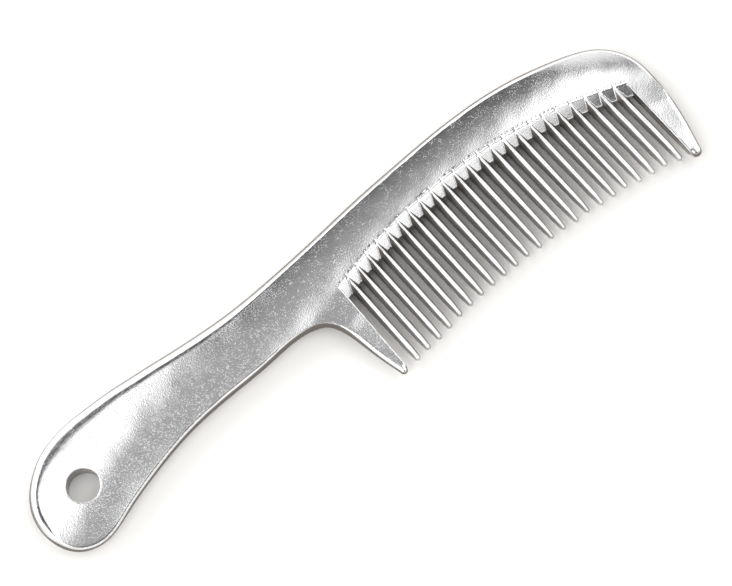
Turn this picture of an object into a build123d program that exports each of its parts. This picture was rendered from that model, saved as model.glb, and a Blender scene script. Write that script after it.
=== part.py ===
"""Cast aluminium mane comb: a paddle handle with a hang hole, a curved spine, 23 teeth and two guard teeth.

The real comb is one casting. It is cut here into its natural regions, which meet face to face. The two dies
meet on the plane z = 0, so every region is the same above and below it.

Units are millimetres. The origin is on the hang hole's axis, on the parting plane. +X runs from the handle
to the tip, +Y to the back of the comb, opposite the teeth, and +Z out of one broad face.
"""
from math import sqrt
import os

from build123d import *

# ---- Driving dimensions ----
BODY_HALF = 3.0          # half the thickness of the handle and spine
BODY_EDGE = 2.8          # rounding of the handle's and spine's edges
GUARD_EDGE = 0.9         # rounding of the guard teeth's outer edges
HOLE_RADIUS = 4.65       # hang hole
HOLE_EDGE = 0.3          # rounding of the hole's rims

ARC_X = 128.0            # the root line and the tip line are arcs about points on this X
ROOT_TOP = 2.7           # highest Y of the root line, where the spine's face ends
ROOT_RADIUS = 157.0
WEB_DEPTH = 3.9          # how far a web slopes down from the root line to its gap's end
WEB_LIP = 0.4            # half the thickness of a web at its gap's end
TOOTH_JOINT_DEPTH = 4.5  # how far below the root line the teeth meet the spine, just clear of the webs
TOOTH_BURIED = 1.0       # how far a tooth's root runs into the spine
TIP_TOP = -29.5          # highest Y of the line through the tooth tips
TIP_RADIUS = 252.0

TOOTH_COUNT = 23
TOOTH_PITCH = 4.24
TOOTH_FIRST_X = 91.3
# Tooth sections from root to tip: distance above the tip (None at the root), half width of the crest, half
# width on the parting plane, and half height.
TOOTH_SECTIONS = [
    (None, 0.45, 1.37, 2.9),
    (4.0, 0.60, 1.05, 1.95),
    (1.0, 0.40, 0.80, 1.30),
    (0.0, 0.15, 0.35, 0.60),
]

HANDLE_END_X = 70.0      # joint face between the handle and the spine
HEEL_JOINT_Y = -9.0      # joint face between the spine and the heel guard
HEEL_INNER_X = 88.0      # gap side of the heel guard at its root
HEEL_TIP_X = 87.4        # gap side of the heel guard at its tip
HEEL_TIP_Y = -31.4       # where the tip's rounded end starts
HEEL_END = (86.3, -32.6)  # lowest place on the heel guard's rounded end
TIP_INNER_X = 188.0      # gap side of the tip guard, and its joint face with the spine
TIP_END_X = 187.7        # gap side of the tip guard at its tip
TIP_END_Y = -36.6        # where the tip's rounded end starts
TIP_END = (189.5, -38.3)  # lowest place on the tip guard's rounded end
GUARD_TIP_HALF = 1.9     # half the thickness of a guard tooth at its tip

# The outline's curves, as points that one smooth line passes through
UNDERSIDE = [(78.2, -8.4), (74.0, -6.5), (60.0, -6.2), (44.0, -6.3), (30.0, -7.2), (17.0, -9.7), (5.0, -13.1)]
HANDLE_END = [(-5.0, -15.4), (-11.9, -12.9), (-15.8, -6.3), (-15.4, 3.2), (-9.6, 11.2), (0.0, 16.2)]
BACK = [(11.0, 17.2), (25.0, 16.4), (42.0, 14.2), (62.0, 12.6), (82.0, 13.0), (106.0, 14.7), (134.0, 15.8),
        (157.0, 14.7), (178.0, 9.9)]
TIP_BEND = [(190.0, 4.2), (195.4, -4.0), (196.0, -13.0), (194.6, -24.0), (191.2, -36.6)]
HEEL_BEND = [(85.1, -31.4), (83.1, -23.2), (82.0, -17.6), (80.6, -12.2)]
REACH = 400.0            # longer than the comb, for cutting boxes
SPARE = 1.0              # how far a cutting box clears the guard that it keeps
OFF_PLANE = 0.5          # edges whose middles are nearer the parting plane than this are left sharp
NEAR = 0.01              # how close counts as the same place when edges are picked out


def root_y(x):
    """Y of the root line at x."""
    return ROOT_TOP - ROOT_RADIUS + sqrt(ROOT_RADIUS**2 - (x - ARC_X) ** 2)


def tip_y(x):
    """Y of the tooth tips' line at x."""
    return TIP_TOP - TIP_RADIUS + sqrt(TIP_RADIUS**2 - (x - ARC_X) ** 2)


def slab(edges, half):
    """The closed outline, half above and half below the parting plane."""
    return extrude(make_face(edges), amount=half, both=True)


def region(x_min=-REACH, x_max=REACH, y_min=-REACH, y_max=REACH):
    """A box that holds one region of the comb."""
    box = Box(x_max - x_min, y_max - y_min, REACH, align=Align.MIN)
    return Pos(x_min, y_min, -REACH / 2) * box


def outline():
    """The comb's silhouette without its teeth, as one long curve and the edges that close it."""
    curve = Spline(HEEL_BEND + UNDERSIDE + HANDLE_END + BACK + TIP_BEND)
    tip_end = ThreePointArc(curve @ 1, TIP_END, (TIP_END_X, TIP_END_Y))
    tip_inner = Line(tip_end @ 1, (TIP_INNER_X, root_y(TIP_INNER_X)))
    root = ThreePointArc(tip_inner @ 1, (ARC_X, ROOT_TOP), (HEEL_INNER_X, root_y(HEEL_INNER_X)))
    heel_inner = Line(root @ 1, (HEEL_TIP_X, HEEL_TIP_Y))
    heel_end = ThreePointArc(heel_inner @ 1, HEEL_END, curve @ 0)
    return [curve, tip_end, tip_inner, root, heel_inner, heel_end]


def along(shape, curves):
    """The shape's edges above and below the given curves of the silhouette."""
    found = ShapeList()
    for edge in shape.edges():
        middle = edge @ 0.5
        shadow = Vertex(middle.X, middle.Y, 0)
        if abs(middle.Z) > OFF_PLANE and any(curve.distance_to(shadow) < NEAR for curve in curves):
            found.append(edge)
    return found


def taper(y_thick, y_thin):
    """A bar along X that is as thick as the body at y_thick and as a guard tooth's tip at y_thin."""
    spare = 10.0
    thin_half = GUARD_TIP_HALF - spare * (BODY_HALF - GUARD_TIP_HALF) / (y_thick - y_thin)
    upper = [(y_thick + spare, BODY_HALF), (y_thick, BODY_HALF), (y_thin - spare, thin_half)]
    lower = [(y, -z) for y, z in reversed(upper)]
    profile = make_face(Polyline(*[(0, y, z) for y, z in upper + lower], close=True))
    return extrude(profile, amount=REACH, dir=(1, 0, 0))


def whole_tooth(x):
    """One tooth, ridged above and below, from inside the spine to its rounded tip."""
    sections = []
    for above_tip, crest, middle, half in TOOTH_SECTIONS:
        y = root_y(x) + TOOTH_BURIED if above_tip is None else tip_y(x) + above_tip
        right = [(x + crest, half), (x + middle, 0), (x + crest, -half)]
        left = [(x - crest, -half), (x - middle, 0), (x - crest, half)]
        sections.append(make_face(Polyline(*[(px, y, pz) for px, pz in right + left], close=True)))
    return loft(sections, ruled=True)


def tooth_zone():
    """A disc whose rim runs along the joint faces between the spine and the teeth."""
    return Pos(ARC_X, ROOT_TOP - ROOT_RADIUS, 0) * Cylinder(ROOT_RADIUS - TOOTH_JOINT_DEPTH, REACH)


def web():
    """The sloped web between the tooth roots: a wedge that follows the root line."""
    half_turn = 25.0
    gap_end = (ROOT_RADIUS - WEB_DEPTH, WEB_LIP)
    upper = [(ROOT_RADIUS + TOOTH_BURIED, BODY_HALF), (ROOT_RADIUS, BODY_HALF), gap_end]
    lower = [(y, -z) for y, z in reversed(upper)]
    profile = make_face(Polyline(*[(0, y, z) for y, z in upper + lower], close=True))
    ring = Rot(0, 0, half_turn) * revolve(profile, Axis.Z, -2 * half_turn)
    return Pos(ARC_X, ROOT_TOP - ROOT_RADIUS, 0) * ring & region(x_min=HEEL_INNER_X, x_max=TIP_INNER_X)


def hand_body(blank, curve):
    """Handle and spine in one, with full round edges and the hang hole, without webs and teeth."""
    body = blank & region(x_max=TIP_INNER_X)
    body = body - region(x_min=HANDLE_END_X, y_max=HEEL_JOINT_Y)
    body = fillet(along(body, [curve]), BODY_EDGE)
    body = body - Cylinder(HOLE_RADIUS, REACH)
    rims = body.edges().filter_by(GeomType.CIRCLE).filter_by(lambda rim: abs(rim.radius - HOLE_RADIUS) < NEAR)
    return fillet(rims, HOLE_EDGE)


def spine(body, teeth):
    """The back of the comb with the webs and the roots of the teeth."""
    back = body & region(x_min=HANDLE_END_X)
    stubs = [tooth - tooth_zone() for tooth in teeth]
    return back + web() + stubs


def heel_guard(blank, outer_curves):
    """The broad guard tooth beside the handle."""
    guard = blank & region(x_min=HANDLE_END_X, x_max=HEEL_INNER_X + SPARE, y_max=HEEL_JOINT_Y)
    guard = guard & taper(HEEL_JOINT_Y, HEEL_TIP_Y)
    return fillet(along(guard, outer_curves), GUARD_EDGE)


def tip_guard(blank, outer_curves):
    """The wide guard tooth at the tip, which carries the back's curve round."""
    guard = blank & region(x_min=TIP_INNER_X - SPARE)
    guard = guard - region(x_max=TIP_INNER_X, y_min=root_y(TIP_INNER_X))
    guard = guard & taper(BACK[-1][1], TIP_END_Y)
    return fillet(along(guard, outer_curves), GUARD_EDGE)


def build():
    """Every region of the comb, by name."""
    edges = outline()
    curve, tip_end, heel_end = edges[0], edges[1], edges[-1]
    blank = slab(edges, BODY_HALF)
    body = hand_body(blank, curve)
    teeth = [whole_tooth(TOOTH_FIRST_X + TOOTH_PITCH * i) for i in range(TOOTH_COUNT)]
    nodes = {
        "handle": body & region(x_max=HANDLE_END_X),
        "spine": spine(body, teeth),
        "heel_guard": heel_guard(blank, [curve, heel_end]),
        "tip_guard": tip_guard(blank, [curve, tip_end]),
    }
    for number, tooth in enumerate(teeth, start=1):
        nodes[f"tooth_{number:02d}"] = tooth & tooth_zone()
    return nodes


if __name__ == "__main__":
    os.makedirs("parts", exist_ok=True)
    for name, shape in build().items():
        export_step(shape, f"parts/{name}.step")
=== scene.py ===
"""Looks for the cast aluminium mane comb: one seamless cast skin, cut into the CAD model's regions.

The casting's skin is worked out from its dimensions as a distance field in millimetres, then meshed. Each
region of the CAD model gets its own closed mesh, and neighbours share their joint face exactly.
"""
import math

import bpy
import numpy as np
from mathutils import Matrix, Vector

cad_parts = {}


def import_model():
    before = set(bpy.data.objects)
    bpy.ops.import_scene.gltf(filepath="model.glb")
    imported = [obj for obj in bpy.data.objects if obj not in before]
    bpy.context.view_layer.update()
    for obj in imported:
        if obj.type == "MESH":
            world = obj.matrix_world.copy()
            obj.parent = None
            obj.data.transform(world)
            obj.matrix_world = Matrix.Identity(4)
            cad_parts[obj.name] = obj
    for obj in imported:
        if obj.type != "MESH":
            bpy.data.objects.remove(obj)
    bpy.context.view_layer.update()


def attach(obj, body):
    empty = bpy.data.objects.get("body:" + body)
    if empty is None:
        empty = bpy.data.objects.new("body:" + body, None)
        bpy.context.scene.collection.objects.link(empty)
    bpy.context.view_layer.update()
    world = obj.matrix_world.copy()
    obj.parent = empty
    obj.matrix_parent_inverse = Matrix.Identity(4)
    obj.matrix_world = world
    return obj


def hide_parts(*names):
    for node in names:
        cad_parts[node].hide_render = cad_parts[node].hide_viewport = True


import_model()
MM = 0.001

# ---- The casting's dimensions in millimetres, as in the CAD model ----
HOLE_RADIUS = 4.65
ARC_X = 128.0            # the root line and the tip line are arcs about points on this X
ROOT_TOP = 2.7
ROOT_RADIUS = 157.0
TIP_TOP = -29.5
TIP_RADIUS = 252.0
TOOTH_JOINT_DEPTH = 4.5
TOOTH_COUNT = 23
TOOTH_PITCH = 4.24
TOOTH_FIRST_X = 91.3
HANDLE_END_X = 70.0
HEEL_JOINT_Y = -9.0
HEEL_INNER = [(88.0, -2.8), (87.4, -31.4)]
TIP_INNER = [(188.0, -9.2), (187.7, -36.6)]
SILHOUETTE = [
    (85.1, -31.4), (83.1, -23.2), (82.0, -17.6), (80.6, -12.2), (78.2, -8.4), (74.0, -6.5), (60.0, -6.2),
    (44.0, -6.3), (30.0, -7.2), (17.0, -9.7), (5.0, -13.1), (-5.0, -15.4), (-11.9, -12.9), (-15.8, -6.3),
    (-15.4, 3.2), (-9.6, 11.2), (0.0, 16.2), (11.0, 17.2), (25.0, 16.4), (42.0, 14.2), (62.0, 12.6),
    (82.0, 13.0), (106.0, 14.7), (134.0, 15.8), (157.0, 14.7), (178.0, 9.9), (190.0, 4.2), (195.4, -4.0),
    (196.0, -13.0), (194.6, -24.0), (191.2, -36.6),
]

# ---- Dimensions of the skin that only the real casting has. A pair is where a fade starts and ends ----
BODY_HALF = 2.95               # half the thickness at the crown of the handle and spine
CROWN_RADIUS = 70.0            # the faces are crowned across the comb
CROWN_END = 2.0                # how gently the crown stops at the root line, so that the guards are flat
THINNEST = 0.1                 # the crowned faces would come closer than this only outside the comb
CENTRE_LINE = [
    (-18.0, -1.0), (0.0, 0.6), (20.0, 4.0), (42.0, 4.0), (62.0, 3.6), (82.0, 5.5), (106.0, 7.9), (134.0, 9.2),
    (157.0, 7.4), (178.0, 2.2), (198.0, -12.0),
]
DRAFT = 0.22                   # how far the sides lean in for each millimetre from the parting plane
PARTING_EDGE = 0.01            # softens the draft's fold at the parting plane, in square millimetres
SOFT_EDGE = 0.3                # rounding of the root line, the hole's rims and the guards' gap sides

EDGE_REACH = 4.2               # how far the rounded edge reaches in from the silhouette
LOWER_REACH = 1.0              # and on the comb's lower side
LOWER_FADE = (0.0, 8.0)        # distances below the centre line over which it gets to that
EDGE_POWER = 2.7               # shape of the rounding: 2 is an ellipse, more is squarer
CREASE_RISE = 0.5              # how far the spine's edge rounding would rise past its face, which cuts it
CREASE_START = (48.0, 84.0)    # X over which that crease starts
CREASE_RADIUS = 0.05           # rounding of the crease
HANDLE_SOFTER = 0.2            # how much more rounding the handle's edge has there

GUARD_HALF = 1.95              # half the thickness of a guard tooth's tip
GUARD_THINNING = (1.0, 26.0)   # depths past the root line over which the guards thin
TIP_THINNING = (168.0, 192.0)  # X over which the spine thins towards the tip
TIP_THINNING_SHARE = 0.75      # and how much of the guards' thinning it gets
GUARD_REACH = 1.5              # how far a guard tooth's rounded edge reaches in
GUARD_START = (2.0, 12.0)      # depths over which the edge changes to that
HEEL_END_BULGE = 1.2           # how far the heel guard's round end bulges
TIP_END_BULGE = 1.7            # and the tip guard's

WEB_DEPTH = 3.9                # how far the webs reach past the root line
WEB_BLUNT = 0.35               # the web's sharp end is rounded off this much
WEB_OVERLAP = 0.5              # how far the webs reach into the guards
ROOT_OVERLAP = 0.8             # how far webs and teeth reach into the spine
CAST_FILLET = 0.22             # soft inner corners where teeth and webs meet
ROOT_FILLET = 0.12             # the same where they meet the spine and the guards

CREST = 0.18                   # half the width of a tooth's crest at the root
CREST_WIDENS = 0.24            # and how much more it has further along
CREST_WIDENING = (0.02, 0.30)  # shares of the tooth's length over which it gets there
TOOTH_HALF = 1.56              # half the width of a tooth at the parting plane, at the root
TOOTH_NARROWS = 0.46           # how much of that is lost towards the tip
TIP_TAPER = (0.0, 5.0)         # distances from the tip over which both taper further, by these amounts:
CREST_TAPER = 0.18
TOOTH_TAPER = 0.25
CREST_PROUD = 0.03             # the crest at the root, above the face
THINNING_BACK = 0.9            # what the teeth take back of the guards' thinning
CREST_FALL = 0.85              # how far the crest falls from root to tip
TIP_FALL = 0.9                 # and how much further at the tip
TIP_FALLING = (-1.0, 4.5)      # distances from the tip over which it does
TIP_ROUNDING = 0.95            # rounding of the tip as seen from above

SEED = 11                      # of the casting's small unevenness
TOOTH_WANDER = 0.05            # spread of the teeth's places along the comb
CREST_WANDER = 0.05            # spread of how far a crest lies off its tooth's middle
TIP_WANDER = 0.18              # spread of the teeth's lengths
WAVE_LENGTHS = [40, 33, 27, 22, 18, 15, 12, 9, 7]  # low unevenness of the cast and polished skin
WAVE_SLOPE = 0.004             # how steep each wave is

# ---- Meshing ----
CELL = TOOTH_PITCH / 14        # size of the meshing grid, a whole number of cells to each tooth
GRID_X = (-17.4, 197.2)        # the grid goes a little past the comb on every side
GRID_Y = (-40.0, 18.4)
GRID_Z = (-3.2, 3.2)
ROOT_POINTS = 300              # points along the root line
WINDOW_LOW = -60.0             # the outline of the tooth gaps goes on well below the comb
WINDOW_LEAN = 0.1              # and its sides lean on by this much there
JOINT_WEIGHT = 1e-4            # on the skin's edge, the skin decides where a point goes, not the joint face
SETTLING_ROUNDS = 4            # how often the points are moved onto the skin and the joint faces
BATCHES = 8                    # parts that the points are handled in, to save memory


# ---- Curves and distances ----
def arc_y(x, top, radius):
    """Y at x on an arc whose highest point is at ARC_X."""
    return top - radius + np.sqrt(radius**2 - (x - ARC_X) ** 2)


def past_root(x, y):
    """How far a place lies past the root line, towards the teeth's tips."""
    return ROOT_RADIUS - np.hypot(x - ARC_X, y - ROOT_TOP + ROOT_RADIUS)


def smooth_line(points, step=0.25):
    """Points every step or so along the smooth curve through the given ones."""
    points = np.array(points, float)
    chord = np.hypot(*np.diff(points, axis=0).T)
    knots = np.r_[0.0, np.cumsum(chord)]
    count = len(points)
    system = np.eye(count)
    right = np.zeros((count, 2))
    for i in range(1, count - 1):
        before, after = chord[i - 1], chord[i]
        system[i, i - 1: i + 2] = before, 2 * (before + after), after
        right[i] = 6 * ((points[i + 1] - points[i]) / after - (points[i] - points[i - 1]) / before)
    bend = np.linalg.solve(system, right)
    t = np.linspace(0.0, knots[-1], int(knots[-1] / step))
    i = np.clip(np.searchsorted(knots, t, side="right") - 1, 0, count - 2)
    h, a, b = chord[i][:, None], (knots[i + 1] - t)[:, None], (t - knots[i])[:, None]
    cubic = (bend[i] * a**3 + bend[i + 1] * b**3) / (6 * h)
    return cubic + (points[i] / h - bend[i] * h / 6) * a + (points[i + 1] / h - bend[i + 1] * h / 6) * b


def half_circle(start, end, bulge, count=16):
    """A half-round end from start to end, which bulges downwards by that much."""
    start, end = np.array(start), np.array(end)
    turn = np.linspace(0, math.pi, count)[:, None]
    return (start + end) / 2 - (end - start) / 2 * np.cos(turn) + np.array([0.0, -bulge]) * np.sin(turn)


def smoothstep(low, high, value):
    """0 up to low and 1 from high, with a smooth change between."""
    t = np.clip((value - low) / (high - low), 0.0, 1.0)
    return t * t * (3 - 2 * t)


class Field:
    """A signed distance to a line in the XY plane, looked up from a grid with smooth interpolation."""

    STEP = 0.3                      # the grid's spacing in millimetres
    LOW = np.array([-19.0, -42.0])  # its lowest point
    SIZE = (730, 210)               # how many points it has each way
    BATCHES = 40                    # parts that the points are handled in, to save memory

    def __init__(self, line, outline):
        """Distance to line, negative inside the closed outline."""
        xs = self.LOW[0] + self.STEP * np.arange(self.SIZE[0])
        ys = self.LOW[1] + self.STEP * np.arange(self.SIZE[1])
        points = np.stack(np.meshgrid(xs, ys, indexing="ij"), -1).reshape(-1, 2)
        distance = self.to_line(points, line).reshape(self.SIZE)
        self.grid = np.where(self.is_inside(xs, ys, outline), -distance, distance)

    @classmethod
    def to_line(cls, points, line, stride=8):
        """Distance from each point to the line, near the closest of every few of its points."""
        parts = np.array_split(points, cls.BATCHES)
        nearest = np.concatenate([((part[:, None] - line[::stride]) ** 2).sum(2).argmin(1) for part in parts])
        best = np.full(len(points), np.inf)
        for step in range(-stride, stride):
            i = np.clip(nearest * stride + step, 0, len(line) - 2)
            rel, along = points - line[i], line[i + 1] - line[i]
            t = np.clip((rel * along).sum(1) / (along**2).sum(1), 0.0, 1.0)
            best = np.minimum(best, ((rel - t[:, None] * along) ** 2).sum(1))
        return np.sqrt(best)

    @staticmethod
    def is_inside(xs, ys, outline):
        """Whether each grid point lies inside: an odd number of crossings below it."""
        x0, y0 = outline.T
        x1, y1 = np.roll(outline, -1, axis=0).T
        inside = np.zeros((len(xs), len(ys)), bool)
        for i, x in enumerate(xs):
            crosses = (x0 > x) != (x1 > x)
            share = (x - x0[crosses]) / (x1[crosses] - x0[crosses])
            heights = np.sort(y0[crosses] + share * (y1[crosses] - y0[crosses]))
            inside[i] = np.searchsorted(heights, ys) % 2 == 1
        return inside

    def __call__(self, x, y):
        u, v = (x - self.LOW[0]) / self.STEP, (y - self.LOW[1]) / self.STEP
        i = np.clip(np.floor(u).astype(int), 1, self.SIZE[0] - 3)
        j = np.clip(np.floor(v).astype(int), 1, self.SIZE[1] - 3)
        total = 0.0
        across, up = self.weights(u - i), self.weights(v - j)
        for a in range(4):
            row = sum(self.grid[i + a - 1, j + b - 1] * up[b] for b in range(4))
            total = total + row * across[a]
        return total

    @staticmethod
    def weights(t):
        """The four weights of a smooth cubic through evenly spaced values."""
        return (
            -0.5 * t + t**2 - 0.5 * t**3, 1 - 2.5 * t**2 + 1.5 * t**3,
            0.5 * t + 2 * t**2 - 1.5 * t**3, -0.5 * t**2 + 0.5 * t**3,
        )


def round_max(a, b, radius):
    """Both shapes' common part, with its edge rounded."""
    corner = np.hypot(np.maximum(a + radius, 0), np.maximum(b + radius, 0))
    return np.minimum(np.maximum(a, b), -radius) + corner


def soft_min(a, b, radius):
    """Both shapes joined, with a fillet in the inner corner."""
    mix = np.maximum(radius - np.abs(a - b), 0.0) / radius
    return np.minimum(a, b) - mix**2 * radius / 4


# ---- The casting ----
class Casting:
    """The casting's skin as one function of place: negative in the metal, positive outside."""

    def __init__(self):
        draw = np.random.RandomState(SEED)
        outer = smooth_line(SILHOUETTE)
        heel_end = half_circle(HEEL_INNER[1], SILHOUETTE[0], HEEL_END_BULGE)
        tip_end = half_circle(SILHOUETTE[-1], TIP_INNER[1], TIP_END_BULGE)
        outer = np.concatenate([heel_end[:-1], outer, tip_end[1:]])
        self.outer = Field(outer, outer)
        x = np.linspace(TIP_INNER[0][0], HEEL_INNER[0][0], ROOT_POINTS)
        root = np.stack([x, arc_y(x, ROOT_TOP, ROOT_RADIUS)], 1)
        tip_corner = (TIP_INNER[1][0] - WINDOW_LEAN, WINDOW_LOW)
        heel_corner = (HEEL_INNER[1][0] - WINDOW_LEAN, WINDOW_LOW)
        window = np.concatenate([[tip_corner], root, [heel_corner]])
        self.window = Field(window, window)
        self.tooth_x = TOOTH_FIRST_X + TOOTH_PITCH * np.arange(TOOTH_COUNT)
        self.tooth_x = self.tooth_x + draw.normal(0, TOOTH_WANDER, TOOTH_COUNT)
        self.centre_line = smooth_line(CENTRE_LINE).T
        self.crest_shift = draw.normal(0, CREST_WANDER, TOOTH_COUNT)
        self.tip_shift = draw.normal(0, TIP_WANDER, TOOTH_COUNT)
        self.waves = []
        for length in WAVE_LENGTHS:
            direction = draw.normal(0, 1, 3)
            direction *= 2 * math.pi / length / np.linalg.norm(direction)
            self.waves.append((direction, draw.uniform(0, 2 * math.pi), WAVE_SLOPE * length / (2 * math.pi)))

    def half_thickness(self, x, y, depth):
        """Half the thickness on the faces: crowned, and thinner towards the guards' tips."""
        at_tip = TIP_THINNING_SHARE * smoothstep(*TIP_THINNING, x)
        thin = np.maximum(smoothstep(*GUARD_THINNING, depth), at_tip)
        beyond = (depth + np.hypot(depth, CROWN_END)) / 2
        lateral = y + beyond - np.interp(x, *self.centre_line)
        return BODY_HALF - lateral**2 / (2 * CROWN_RADIUS) - (BODY_HALF - GUARD_HALF) * thin

    def body(self, x, y, z, depth):
        """Handle, spine and guards: rounded at the silhouette, with the hole and without the tooth gaps."""
        half = self.half_thickness(x, y, depth)
        guard = smoothstep(*GUARD_START, depth)
        lower_side = smoothstep(*LOWER_FADE, np.interp(x, *self.centre_line) - y)
        reach = EDGE_REACH + (LOWER_REACH - EDGE_REACH) * lower_side
        reach = reach + (GUARD_REACH - reach) * guard
        crease = smoothstep(*CREASE_START, x) * (1 - guard)
        rise = np.maximum(half + CREASE_RISE * crease, THINNEST)
        inward = -self.outer(x, y) - DRAFT * np.sqrt(z**2 + PARTING_EDGE)
        rim = np.maximum(1 - inward / reach, 0.0)
        face = np.abs(z) / rise
        pillow = rise * ((rim**EDGE_POWER + face**EDGE_POWER) ** (1 / EDGE_POWER) - 1)
        pillow = round_max(pillow, np.abs(z) - half, CREASE_RADIUS + HANDLE_SOFTER * (1 - crease))
        solid = round_max(pillow, -self.window(x, y), SOFT_EDGE)
        hole = HOLE_RADIUS - np.hypot(x, y)
        return round_max(solid, hole, SOFT_EDGE)

    def web(self, x, z, depth, half):
        """The sloped web between the tooth roots."""
        slope = math.atan2(BODY_HALF, WEB_DEPTH)
        wedge = (np.abs(z) - half * (1 - np.maximum(depth, 0.0) / WEB_DEPTH)) * math.cos(slope)
        ends = np.maximum(HEEL_INNER[0][0] - WEB_OVERLAP - x, x - TIP_INNER[0][0] - WEB_OVERLAP)
        blunt = round_max(wedge, depth - WEB_DEPTH + WEB_BLUNT, WEB_BLUNT)
        return np.maximum(np.maximum(blunt, -depth - ROOT_OVERLAP), ends)

    def teeth(self, x, y, z, half):
        """The nearest tooth: ridged above and below, tapering to a rounded tip."""
        i = np.clip(np.round((x - TOOTH_FIRST_X) / TOOTH_PITCH).astype(int), 0, TOOTH_COUNT - 1)
        middle_x = self.tooth_x[i]
        above_tip = y - arc_y(middle_x, TIP_TOP, TIP_RADIUS) - self.tip_shift[i]
        below_root = arc_y(middle_x, ROOT_TOP, ROOT_RADIUS) - y
        along = np.clip(below_root / (below_root + above_tip + 1e-6), 0.0, 1.0)
        tip_taper = 1 - smoothstep(*TIP_TAPER, above_tip)
        crest = CREST + CREST_WIDENS * smoothstep(*CREST_WIDENING, along) - CREST_TAPER * tip_taper
        middle = TOOTH_HALF - TOOTH_NARROWS * along - TOOTH_TAPER * tip_taper
        thinning = THINNING_BACK * smoothstep(*GUARD_THINNING, below_root)
        top = half + thinning + CREST_PROUD - CREST_FALL * along
        top = top - TIP_FALL * (1 - smoothstep(*TIP_FALLING, above_tip))
        off = np.abs(x - middle_x - self.crest_shift[i] * np.abs(z) / half)
        lean = (middle - crest) / top
        flank = (off - middle + lean * np.abs(z)) / np.sqrt(1 + lean**2)
        blade = round_max(flank, -above_tip, TIP_ROUNDING)
        blade = round_max(blade, np.abs(z) - top, crest)
        return np.maximum(blade, -below_root - ROOT_OVERLAP)

    def plain(self, x, y, z):
        """The skin without its waviness. The three may be any arrays that go together."""
        depth = past_root(x, y)
        half = self.half_thickness(x, y, depth)
        roots = soft_min(self.web(x, z, depth, half), self.teeth(x, y, z, half), CAST_FILLET)
        return soft_min(self.body(x, y, z, depth), roots, ROOT_FILLET)

    def __call__(self, p):
        skin = self.plain(*p.T)
        for direction, phase, size in self.waves:
            skin = skin + size * np.sin(p @ direction + phase)
        return skin

    def gradient(self, p, reach=0.02):
        """The distance's slope at each place, from its change over twice the reach."""
        steps = np.eye(3) * reach
        return np.stack([self(p + step) - self(p - step) for step in steps], 1) / (2 * reach)


# ---- The regions, and the joint faces between them ----
NODES = ["handle", "spine", "heel_guard", "tip_guard"] + [f"tooth_{i:02d}" for i in range(1, TOOTH_COUNT + 1)]
HANDLE, SPINE, HEEL, TIP, FIRST_TOOTH = range(5)
HEEL_SIDE_X = HEEL_INNER[0][0] + 0.7  # the heel guard ends and the tooth gaps start here
TIP_SIDE_X = TIP_INNER[0][0] - 0.9    # the tooth gaps end here
TIP_START_DEPTH = WEB_DEPTH + 0.3     # past this depth, the tip guard starts at TIP_SIDE_X


def region_of(x, y):
    """The number of the region that each place lies in."""
    depth = past_root(x, y)
    region = np.full(len(x), SPINE)
    tooth = np.clip(np.round((x - TOOTH_FIRST_X) / TOOTH_PITCH).astype(int), 0, TOOTH_COUNT - 1)
    is_tooth = (depth > TOOTH_JOINT_DEPTH) & (x > HEEL_SIDE_X) & (x < TIP_SIDE_X)
    region[is_tooth] = FIRST_TOOTH + tooth[is_tooth]
    region[(y < HEEL_JOINT_Y) & (x < HEEL_SIDE_X)] = HEEL
    region[(x > TIP_INNER[0][0]) | ((depth > TIP_START_DEPTH) & (x >= TIP_SIDE_X))] = TIP
    region[x < HANDLE_END_X] = HANDLE
    return region


def snap_to_joint(p, other):
    """Moves points onto the joint face between the spine and the other region."""
    handle, heel, tip, tooth = other == HANDLE, other == HEEL, other == TIP, other >= FIRST_TOOTH
    p[handle, 0] = HANDLE_END_X
    p[heel, 1] = HEEL_JOINT_Y
    p[tip, 0] = TIP_INNER[0][0]
    centre = np.array([ARC_X, ROOT_TOP - ROOT_RADIUS])
    rel = p[tooth, :2] - centre
    p[tooth, :2] = centre + rel * ((ROOT_RADIUS - TOOTH_JOINT_DEPTH) / np.hypot(*rel.T))[:, None]


def grid_axis(low, high, through):
    """Evenly spaced places from below low to above high, one of them at through."""
    first, last = math.floor((low - through) / CELL), math.ceil((high - through) / CELL)
    return through + CELL * np.arange(first, last + 1)


def label_grid(casting, axes):
    """The distance at each grid point, and the region there, or -1 outside the metal."""
    x, y = [side.reshape(-1, 1) for side in np.meshgrid(axes[0], axes[1], indexing="ij")]
    z = axes[2].reshape(1, -1)
    shape = tuple(len(axis) for axis in axes)
    values = casting.plain(x, y, z)
    labels = np.where(values < 0, region_of(x[:, 0], y[:, 0])[:, None], -1)
    return values.reshape(shape), labels.astype(np.int8).reshape(shape)


def changes_along(axis, axes, values, labels):
    """The grid edges along an axis whose two ends lie in different regions, or one of them outside.

    Gives both ends' regions, whether the skin crosses there, the place where they part, and the four cells
    around each edge.
    """
    low = [slice(1, -1)] * 3
    low[axis] = slice(0, -1)
    high = list(low)
    high[axis] = slice(1, None)
    where = np.argwhere(labels[tuple(low)] != labels[tuple(high)]) + [0 if k == axis else 1 for k in range(3)]
    start = tuple(where.T)
    end = where.copy()
    end[:, axis] += 1
    end = tuple(end.T)
    a, b = labels[start], labels[end]
    skin = (a < 0) | (b < 0)
    va, vb = values[start], values[end]
    share = np.where(skin, va / np.where(va == vb, 1, va - vb), 0.5)
    point = np.stack([axes[k][where[:, k]] for k in range(3)], 1)
    point[:, axis] += share * CELL
    u, v = (axis + 1) % 3, (axis + 2) % 3
    ring = []
    for du, dv in ((1, 1), (0, 1), (0, 0), (1, 0)):
        cell = where.copy()
        cell[:, u] -= du
        cell[:, v] -= dv
        ring.append(np.ravel_multi_index(tuple(cell.T), labels.shape))
    return a, b, skin, point, ring


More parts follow.
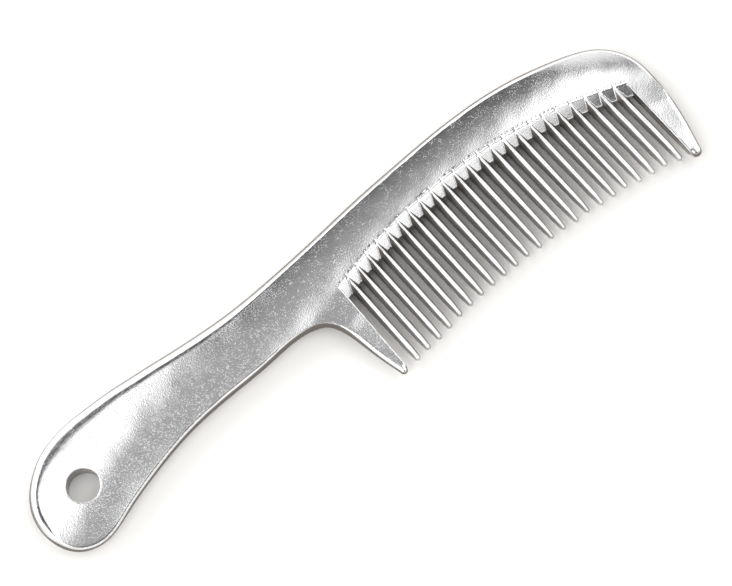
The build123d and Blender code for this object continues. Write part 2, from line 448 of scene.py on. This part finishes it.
def settle(casting, p, on_skin, other):
    """Moves the points onto the skin and onto the joint faces, in turns."""
    for _ in range(SETTLING_ROUNDS):
        for part in np.array_split(np.flatnonzero(on_skin), BATCHES):
            slope = casting.gradient(p[part])
            step = (casting(p[part]) / (slope**2).sum(1))[:, None] * slope
            p[part] -= np.clip(step, -CELL, CELL)
        snapped = np.flatnonzero(other >= 0)
        moved = p[snapped]
        snap_to_joint(moved, other[snapped])
        p[snapped] = moved


def skin_normals(casting, p, on_skin):
    """The skin's own direction at each point on it."""
    normals = np.zeros_like(p)
    for part in np.array_split(np.flatnonzero(on_skin), BATCHES):
        slope = casting.gradient(p[part])
        normals[part] = slope / np.linalg.norm(slope, axis=1)[:, None]
    return normals


def skin_mesh(casting):
    """Points, skin normals, and per region the four-sided faces and whether each is on the skin."""
    axes = [grid_axis(*GRID_X, TOOTH_FIRST_X), grid_axis(*GRID_Y, 0.0), grid_axis(*GRID_Z, CELL / 2)]
    values, labels = label_grid(casting, axes)
    cells = labels.size
    weight, place, other = np.zeros(cells), np.zeros((cells, 3)), np.full(cells, -1)
    on_skin = np.zeros(cells, bool)
    faces = []
    for axis in range(3):
        a, b, skin, point, ring = changes_along(axis, axes, values, labels)
        share = np.where(skin, 1.0, JOINT_WEIGHT)
        far = np.where(a == SPINE, b, a)  # a joint face is always between the spine and another region
        for number in ring:
            weight += np.bincount(number, share, cells)
            for k in range(3):
                place[:, k] += np.bincount(number, share * point[:, k], cells)
            on_skin[number[skin]] = True
            other[number[~skin]] = far[~skin]
        ring = np.stack(ring, 1)
        faces.append((a, ring, skin))
        faces.append((b, ring[:, ::-1], skin))
    used = np.flatnonzero(weight)
    p = place[used] / weight[used, None]
    on_skin, other = on_skin[used], other[used]
    settle(casting, p, on_skin, other)
    normals = skin_normals(casting, p, on_skin)
    renumber = np.zeros(cells, int)
    renumber[used] = np.arange(len(used))
    by_region = []
    for region in range(len(NODES)):
        rings = np.concatenate([ring[label == region] for label, ring, _ in faces])
        skin = np.concatenate([is_skin[label == region] for label, _, is_skin in faces])
        by_region.append((renumber[rings], skin))
    return p, normals, by_region


# ---- The finish, from 0, polished, to 1, as cast and dark, which is partly painted shade ----
# Fades over how upright the skin's direction is: 0 on a vertical side and 1 on a flat face
OUTER_SIDE = (0.62, 0.88)
WEB_SIDE = (0.45, 0.70)
TOOTH_SIDE = (0.55, 0.92)
BACK_EDGE = (0.78, 0.92)
# Where the painted highlight on the handle's lower rim starts and ends
RIM_HIGHLIGHT_FROM = (0.42, 0.54)
RIM_HIGHLIGHT_TO = (0.60, 0.74)
# Fades over millimetres
HIGHLIGHT_Y = (-6.0, 2.0)           # the handle's lower side, whose rim gets a painted highlight: a lighter, glossy band
HIGHLIGHT_X = (70.0, 76.0)
BACK_FROM_CENTRE = (0.0, 4.0)  # the back of the comb, whose rounding gets a painted grey band, a painted reflection of the dark room
BACK_X = (120.0, 165.0)
HOLE_WALL = (HOLE_RADIUS + 0.4, HOLE_RADIUS + 0.8)
PARTING_LINE = (0.10, 0.30)    # half the height of the band where the flash was ground off
ROOT_SHADE_DEPTH = (4.5, 8.5)   # past this the teeth's sides get less painted shade
RECESS = (0.2, 0.9)            # distances below the face over which the webs get painted shade
ROOT_SANDED = (1.0, 4.0)
TIP_SANDED = (19.0, 26.0)
# How strong the effects are
RIM_HIGHLIGHT = 0.85
BACK_PAINTED_SHADE = 0.7
HOLE_LIGHTER = 0.45
TOOTH_RAW_AND_SHADE = 0.70
INNER_FLASH, OUTER_FLASH = 0.75, 0.35
RECESS_SHADE = 0.22
GAP_DEPTH = 0.2                # the finish between the teeth starts this far past the root line
FLANK_START = TOOTH_JOINT_DEPTH - 0.5  # where the webs' finish changes to that of the teeth's sides


def outer_sides(x, y, upright):
    """How raw and dark the comb's outer sides and the hole's wall are. The steep sides are darker, partly as
    cast and partly painted shade where they mirror the shadowed floor. The hole's wall is kept lighter. A
    band along the handle's lower rim is a painted highlight, and a band on the back's rounding is a painted
    grey reflection.
    """
    # Painted highlight: a lighter, glossy band along the rim of the handle's lower side
    highlight_zone = (1 - smoothstep(*HIGHLIGHT_Y, y)) * (1 - smoothstep(*HIGHLIGHT_X, x))
    rim_highlight = highlight_zone * smoothstep(*RIM_HIGHLIGHT_FROM, upright) * (1 - smoothstep(*RIM_HIGHLIGHT_TO, upright))
    in_hole = 1 - smoothstep(*HOLE_WALL, np.hypot(x, y))
    # Painted shade on the steep sides, together with their as-cast finish, and less of it on the hole's wall
    sides = (1 - smoothstep(*OUTER_SIDE, upright)) * (1 - RIM_HIGHLIGHT * rim_highlight) * (1 - HOLE_LIGHTER * in_hole)
    # Painted reflection: a grey band on the rounding of the comb's back
    back = smoothstep(*BACK_FROM_CENTRE, y - np.interp(x, *smooth_line(CENTRE_LINE).T))
    back_edge = BACK_PAINTED_SHADE * back * (1 - smoothstep(*BACK_X, x)) * (1 - smoothstep(*BACK_EDGE, upright))
    return np.maximum(sides, back_edge)


def inner_sides(depth, upright):
    """How raw and dark the webs and the teeth's sides are: partly as cast and partly painted shade, strongest
    on the webs' steep ends and on the flanks near the roots, where the gaps lie in shade.
    """
    # Painted shade on the webs' steep ends, where the tooth gaps start
    webs = 1 - smoothstep(*WEB_SIDE, upright)
    # Painted shade: the flanks darkest near the roots, where the gaps are deepest
    deep = 1 - smoothstep(*ROOT_SHADE_DEPTH, depth)
    flanks = (TOOTH_RAW_AND_SHADE + (1 - TOOTH_RAW_AND_SHADE) * deep) * (1 - smoothstep(*TOOTH_SIDE, upright))
    return np.where(depth > FLANK_START, flanks, webs)


def finish_values(points, normals):
    """For each point of the skin: how raw and dark it is, partly as cast and partly painted shade, and how
    much it was sanded between the teeth.
    """
    x, y, z = points.T
    depth = past_root(x, y)
    between = (x > HEEL_INNER[1][0]) & (x < TIP_INNER[0][0]) & (depth > GAP_DEPTH)
    upright = np.abs(normals[:, 2])
    flash = 1 - smoothstep(*PARTING_LINE, np.abs(z))
    inner = inner_sides(depth, upright) * (1 - INNER_FLASH * flash)
    outer = outer_sides(x, y, upright) * (1 - OUTER_FLASH * flash)
    side = np.where(between, inner, outer)
    on_web = between * (depth > 0) * (depth < WEB_DEPTH)
    # Painted shade: the webs darker the deeper they lie below the face
    recess = RECESS_SHADE * smoothstep(*RECESS, BODY_HALF - np.abs(z)) * on_web
    sanded = (smoothstep(*ROOT_SANDED, depth) + smoothstep(*TIP_SANDED, depth)) / 2 * between
    return np.maximum(side, recess), sanded


# ---- Making the pieces ----
def region_piece(name, points, normals, rings, skin):
    """One region as a closed mesh with the skin's own smooth normals."""
    used, corners = np.unique(rings, return_inverse=True)
    corners = corners.reshape(rings.shape)
    mesh = bpy.data.meshes.new(name + "_skin")
    mesh.from_pydata((points[used] * MM).tolist(), [], corners.tolist())
    mesh.polygons.foreach_set("use_smooth", np.ones(len(corners), bool))
    side_a = points[rings[:, 2]] - points[rings[:, 0]]
    side_b = points[rings[:, 3]] - points[rings[:, 1]]
    flat = np.cross(side_a, side_b)
    flat /= np.maximum(np.linalg.norm(flat, axis=1), 1e-9)[:, None]
    corner_normals = np.where(skin[:, None, None], normals[rings], flat[:, None, :])
    mesh.normals_split_custom_set(corner_normals.reshape(-1, 3).tolist())
    for value_name, values in zip(("raw_and_shade", "sanded"), finish_values(points[used], normals[used])):
        mesh.attributes.new(value_name, "FLOAT", "POINT").data.foreach_set("value", values)
    piece = bpy.data.objects.new(name + "_cast", mesh)
    bpy.context.scene.collection.objects.link(piece)
    return piece


def make_pieces(material):
    """Every region's piece, in place of its CAD piece."""
    points, normals, by_region = skin_mesh(Casting())
    for name, (rings, skin) in zip(NODES, by_region):
        piece = region_piece(name, points, normals, rings, skin)
        piece.data.materials.append(material)
        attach(piece, "root")
        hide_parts(name)


# ---- The metal ----
POLISHED = (0.86, 0.86, 0.865, 1)
# The dark as-cast colour, which also paints shade on the sides, webs and teeth's roots
AS_CAST_AND_SHADE = (0.178, 0.165, 0.152, 1)
PITTED = (0.50, 0.49, 0.475, 1)
# Sizes of its marks in millimetres
GRAIN, ORANGE_PEEL, PATCHES, CLOUDS, SPECKS = 0.35, 1.3, 3.0, 6.0, 0.42
# Their heights in millimetres
ORANGE_PEEL_HEIGHT, CLOUD_HEIGHT, DENT_DEPTH = 0.006, 0.02, 0.020
GRAIN_POLISHED, GRAIN_RAW = 0.016, 0.045
# Roughness of polished and of sanded places, and what an as-cast place adds
GLOSSY, SATIN, RAW_ROUGHER = 0.10, 0.36, 0.22
WORN_PATCH = (0.38, 0.60)      # noise values from the least to the most worn places
LEAST_WORN = 0.35
WORN_DULLER = 0.12             # how far the most worn places go from polished to sanded
DENT_REACH = (0.32, 0.04)      # from a dent's rim to its bottom, as a share of the specks' size
DENT_DARKENS = 0.45


def cast_aluminium():
    """Bright tumbled aluminium on faces and ridges, dull and darker as cast where polishing doesn't reach,
    and darker with painted shade on steep sides, in the webs and near the teeth's roots.
    """
    material = bpy.data.materials.new("cast_aluminium")
    material.use_nodes = True
    nodes, links = material.node_tree.nodes, material.node_tree.links
    shader = nodes["Principled BSDF"]
    shader.inputs["Metallic"].default_value = 1.0
    place = nodes.new("ShaderNodeTexCoord").outputs["Object"]

    def node(kind, values, **sources):
        """A node with the given input values, and other nodes' outputs linked to its inputs."""
        made = nodes.new("ShaderNode" + kind)
        for name, value in values.items():
            made.inputs[name].default_value = value
        for name, source in sources.items():
            links.new(source, made.inputs[name])
        return made

    def noise(size_mm, detail=2.0):
        """Even noise with features of that size."""
        scale = 1 / (size_mm * MM)
        return node("TexNoise", {"Scale": scale, "Detail": detail}, Vector=place).outputs["Fac"]

    def fade(source, start, end, low=0.0, high=1.0):
        """Goes from low to high while the source goes from start to end."""
        values = {"From Min": start, "From Max": end, "To Min": low, "To Max": high}
        return node("MapRange", values, Value=source).outputs["Result"]

    def maths(operation, a, b):
        """The result of an operation on two outputs, or on an output and a number."""
        made = nodes.new("ShaderNodeMath")
        made.operation = operation
        for socket, value in zip(made.inputs, (a, b)):
            if isinstance(value, float):
                socket.default_value = value
            else:
                links.new(value, socket)
        return made.outputs["Value"]

    def attribute(name):
        """A value that the mesh holds at each point."""
        made = nodes.new("ShaderNodeAttribute")
        made.attribute_name = name
        return made.outputs["Fac"]

    def mixed(factor, a, b):
        """Colour a where the factor is 0 and b where it is 1. Each may be an output."""
        made = nodes.new("ShaderNodeMix")
        made.data_type = "RGBA"
        links.new(factor, made.inputs["Factor"])
        for name, value in (("A", a), ("B", b)):
            if isinstance(value, tuple):
                made.inputs[name].default_value = value
            else:
                links.new(value, made.inputs[name])
        return made.outputs["Result"]

    raw_and_shade, sanded = attribute("raw_and_shade"), attribute("sanded")
    grain, orange_peel = noise(GRAIN), noise(ORANGE_PEEL)
    patches, clouds = noise(PATCHES, detail=3.0), noise(CLOUDS, detail=1.0)
    specks = node("TexVoronoi", {"Scale": 1 / (SPECKS * MM)}, Vector=place).outputs["Distance"]
    worn = fade(patches, *WORN_PATCH, LEAST_WORN, 1.0)
    dents = maths("MULTIPLY", fade(specks, *DENT_REACH), worn)
    colour = mixed(fade(dents, 0.0, 1.0, 0.0, DENT_DARKENS), POLISHED, PITTED)
    # Darkens towards the as-cast colour, both at as-cast places and as painted shade
    links.new(mixed(raw_and_shade, colour, AS_CAST_AND_SHADE), shader.inputs["Base Color"])
    unpolished = maths("MAXIMUM", raw_and_shade, sanded)
    dull = maths("ADD", unpolished, maths("MULTIPLY", worn, WORN_DULLER))
    roughness = maths("ADD", fade(dull, 0, 1, GLOSSY, SATIN), maths("MULTIPLY", raw_and_shade, RAW_ROUGHER))
    links.new(roughness, shader.inputs["Roughness"])
    height = maths("MULTIPLY", orange_peel, ORANGE_PEEL_HEIGHT)
    height = maths("ADD", height, maths("MULTIPLY", grain, fade(unpolished, 0, 1, GRAIN_POLISHED, GRAIN_RAW)))
    height = maths("SUBTRACT", height, maths("MULTIPLY", dents, DENT_DEPTH))
    height = maths("ADD", height, maths("MULTIPLY", clouds, CLOUD_HEIGHT))
    bump = node("Bump", {"Distance": MM}, Height=height)
    links.new(bump.outputs["Normal"], shader.inputs["Normal"])
    return material


make_pieces(cast_aluminium())

# ---- Floor, light and camera. Distances are in metres ----
FLOOR_Z = -3.0 * MM
FLOOR_SIZE = 6.0
FLOOR_MIDDLE_X = 0.09
FLOOR_COLOUR = (0.93, 0.915, 0.895, 1)
FLOOR_ROUGHNESS = 0.9


def floor():
    """The matt, nearly white table top that the comb lies on."""
    bpy.ops.mesh.primitive_plane_add(size=FLOOR_SIZE, location=(FLOOR_MIDDLE_X, 0.0, FLOOR_Z))
    plane = bpy.context.object
    plane.name = "studio_floor"
    material = bpy.data.materials.new("studio_floor")
    material.use_nodes = True
    shader = material.node_tree.nodes["Principled BSDF"]
    shader.inputs["Base Color"].default_value = FLOOR_COLOUR
    shader.inputs["Roughness"].default_value = FLOOR_ROUGHNESS
    plane.data.materials.append(material)


CAMERA_DISTANCE = 0.600
CAMERA_TILT = math.radians(17.8)
CAMERA_ROLL = math.radians(-6.2)
CAMERA_LENS = 107.1
# Directions on the floor as the camera sees them, but for its roll: right and up in the picture
RIGHT = Vector((0.82423, -0.56625, 0.0))
UP = Vector((0.56625, 0.82423, 0.0))
LOOK_AT = Vector((0.09281, -0.00781, 0.0))


def camera():
    """The camera, above the comb and towards the viewer, turned a little about its own axis."""
    back = Vector((0, 0, 1)) * math.cos(CAMERA_TILT) - UP * math.sin(CAMERA_TILT)
    up = UP * math.cos(CAMERA_TILT) + Vector((0, 0, 1)) * math.sin(CAMERA_TILT)
    data = bpy.data.cameras.new("camera")
    data.lens = CAMERA_LENS
    data.sensor_width = 36.0
    eye = bpy.data.objects.new("camera", data)
    bpy.context.scene.collection.objects.link(eye)
    turn = Matrix((RIGHT, up, back)).transposed()
    eye.matrix_world = Matrix.Translation(LOOK_AT + back * CAMERA_DISTANCE) @ (
        turn @ Matrix.Rotation(CAMERA_ROLL, 3, "Z")).to_4x4()
    bpy.context.scene.camera = eye


def panel(name, right, up, width, depth, turn, radiance):
    """A soft light panel that faces down: its middle, size and turn as seen from the comb, in degrees."""
    angles = (right, up, width, depth)
    right, up, width, depth = [math.tan(math.radians(angle)) * PANEL_HEIGHT for angle in angles]
    data = bpy.data.lights.new(name, "AREA")
    data.shape = "RECTANGLE"
    data.size, data.size_y = width, depth
    data.energy = radiance * math.pi * width * depth
    light = bpy.data.objects.new(name, data)
    bpy.context.scene.collection.objects.link(light)
    place = LOOK_AT + RIGHT * right + UP * up + Vector((0, 0, PANEL_HEIGHT))
    axes = Matrix((RIGHT, UP, Vector((0, 0, 1)))).transposed()
    turned = axes @ Matrix.Rotation(math.radians(turn), 3, "Z")
    light.matrix_world = Matrix.Translation(place) @ turned.to_4x4()


def world():
    """A soft room, bright low down and behind, grey overhead. Where parts overlap, the brightest counts."""
    sky = bpy.data.worlds.new("studio")
    sky.use_nodes = True
    nodes, links = sky.node_tree.nodes, sky.node_tree.links
    direction = nodes.new("ShaderNodeTexCoord").outputs["Generated"]
    level = None
    for axis, start, end, low_value, high_value in ROOM:
        dot = nodes.new("ShaderNodeVectorMath")
        dot.operation = "DOT_PRODUCT"
        links.new(direction, dot.inputs[0])
        dot.inputs[1].default_value = RIGHT * axis[0] + UP * axis[1] + Vector((0, 0, axis[2]))
        ramp = nodes.new("ShaderNodeMapRange")
        ramp.interpolation_type = "SMOOTHSTEP"
        links.new(dot.outputs["Value"], ramp.inputs["Value"])
        values = {"From Min": start, "From Max": end, "To Min": low_value, "To Max": high_value}
        for name, value in values.items():
            ramp.inputs[name].default_value = value
        brightest = nodes.new("ShaderNodeMath")
        brightest.operation = "MAXIMUM"
        links.new(ramp.outputs["Result"], brightest.inputs[0])
        if level is None:
            brightest.inputs[1].default_value = 0.0
        else:
            links.new(level, brightest.inputs[1])
        level = brightest.outputs["Value"]
    links.new(level, nodes["Background"].inputs["Color"])
    bpy.context.scene.world = sky


PANEL_HEIGHT = 0.9       # light panels hang this high over the floor
# Parts of the room: direction as (picture right, picture up, overhead), start and end of the fade towards
# that direction, and the light levels before and after it
ROOM = [
    ((0.0, 0.0, 1.0), 0.61, 0.68, 1.55, 0.10),        # white walls all round, low down
    ((0.0, 0.0, 1.0), 0.86, 0.97, 0.10, 0.38),        # grey ceiling
    ((0.5, 0.86, 0.0), 0.47, 0.64, 0.10, 1.15),       # high wall behind the comb
    ((-0.80, 0.35, -0.45), 0.35, 0.60, 0.10, 4.5),    # bright window, low on the left
    ((0.49, 0.19, 0.85), 0.898, 0.936, 0.10, 1.7),    # soft lamp, high on the right
    ((-0.45, -0.45, 0.77), 0.93, 0.985, 0.10, 2.6),   # small lamp, high on the camera's left
]

floor()
camera()
world()
panel("panel_left", right=-21.6, up=10.2, width=22, depth=36, turn=15, radiance=1.5)
bpy.context.scene.view_settings.view_transform = "Standard"
